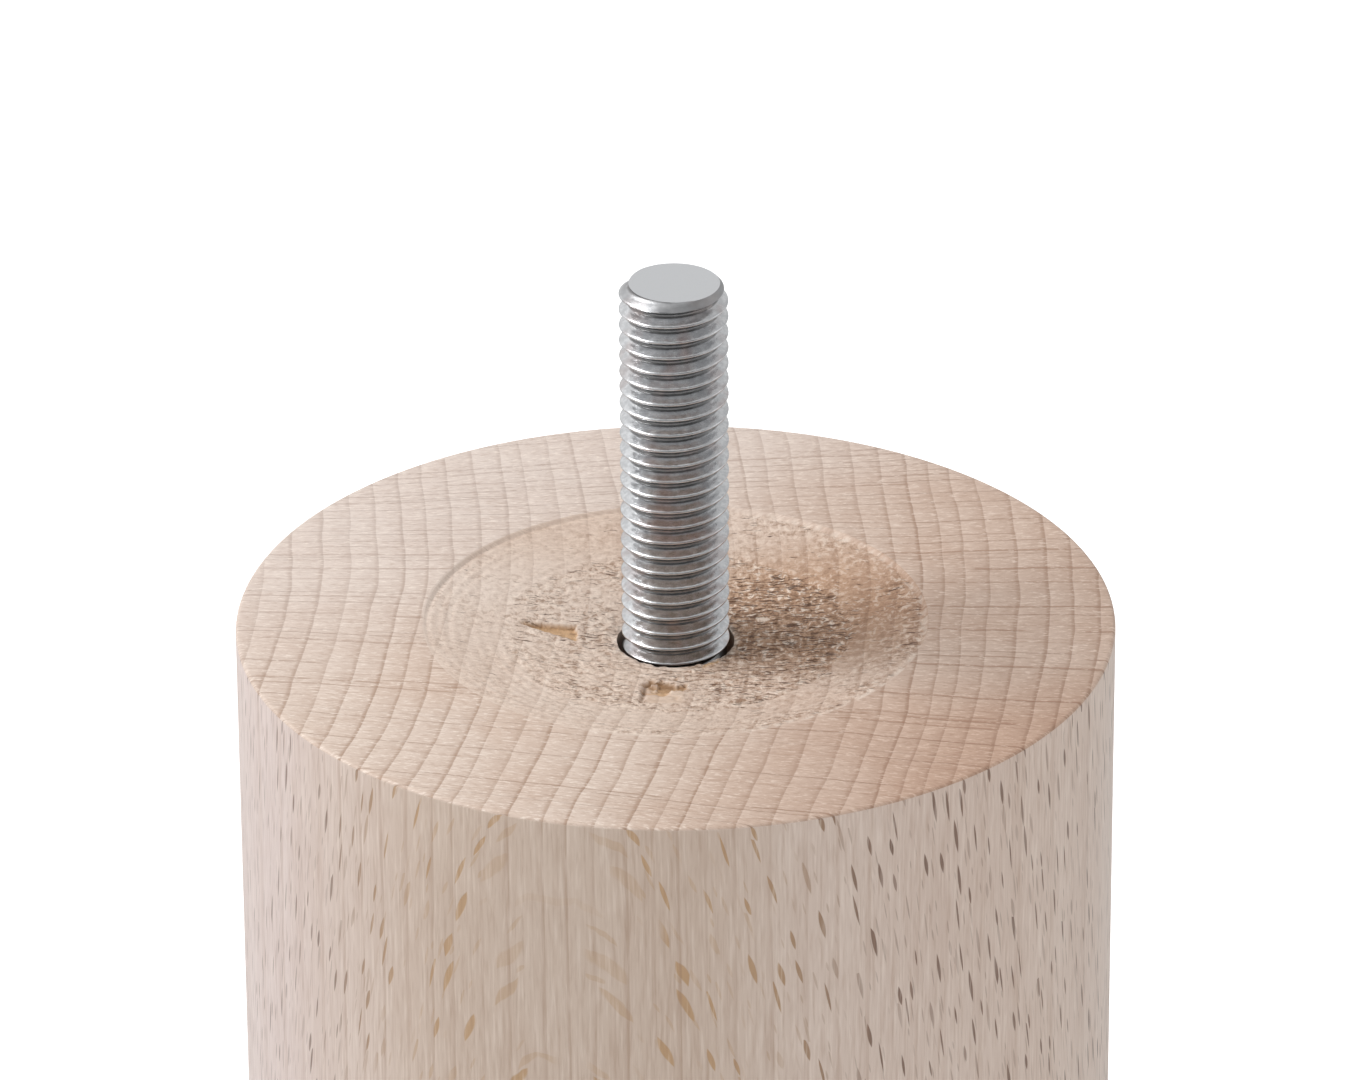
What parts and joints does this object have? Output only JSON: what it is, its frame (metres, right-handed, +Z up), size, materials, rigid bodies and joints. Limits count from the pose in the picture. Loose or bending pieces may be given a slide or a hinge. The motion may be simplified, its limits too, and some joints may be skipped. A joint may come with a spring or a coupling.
{
  "type": "wooden furniture leg",
  "caption": "Short round solid beech furniture leg with a dished seat face and a zinc-plated hanger bolt standing in its centre.",
  "frame": {"origin": "centre of the foot face, on the leg's axis, at the level of the floor", "axes": "+Z up the leg's axis towards the bolt; X and Y are any two directions across it, with -Y towards the picture's viewer"},
  "size_m": [0.065, 0.065, 0.1274],
  "materials": {
    "beech": "bare, fine sanded",
    "zinc_plated_steel": "bright zinc plating"
  },
  "bodies": {
    "root": {"leg_body": "beech", "hanger_bolt": "zinc_plated_steel"}
  },
  "joints": []
}
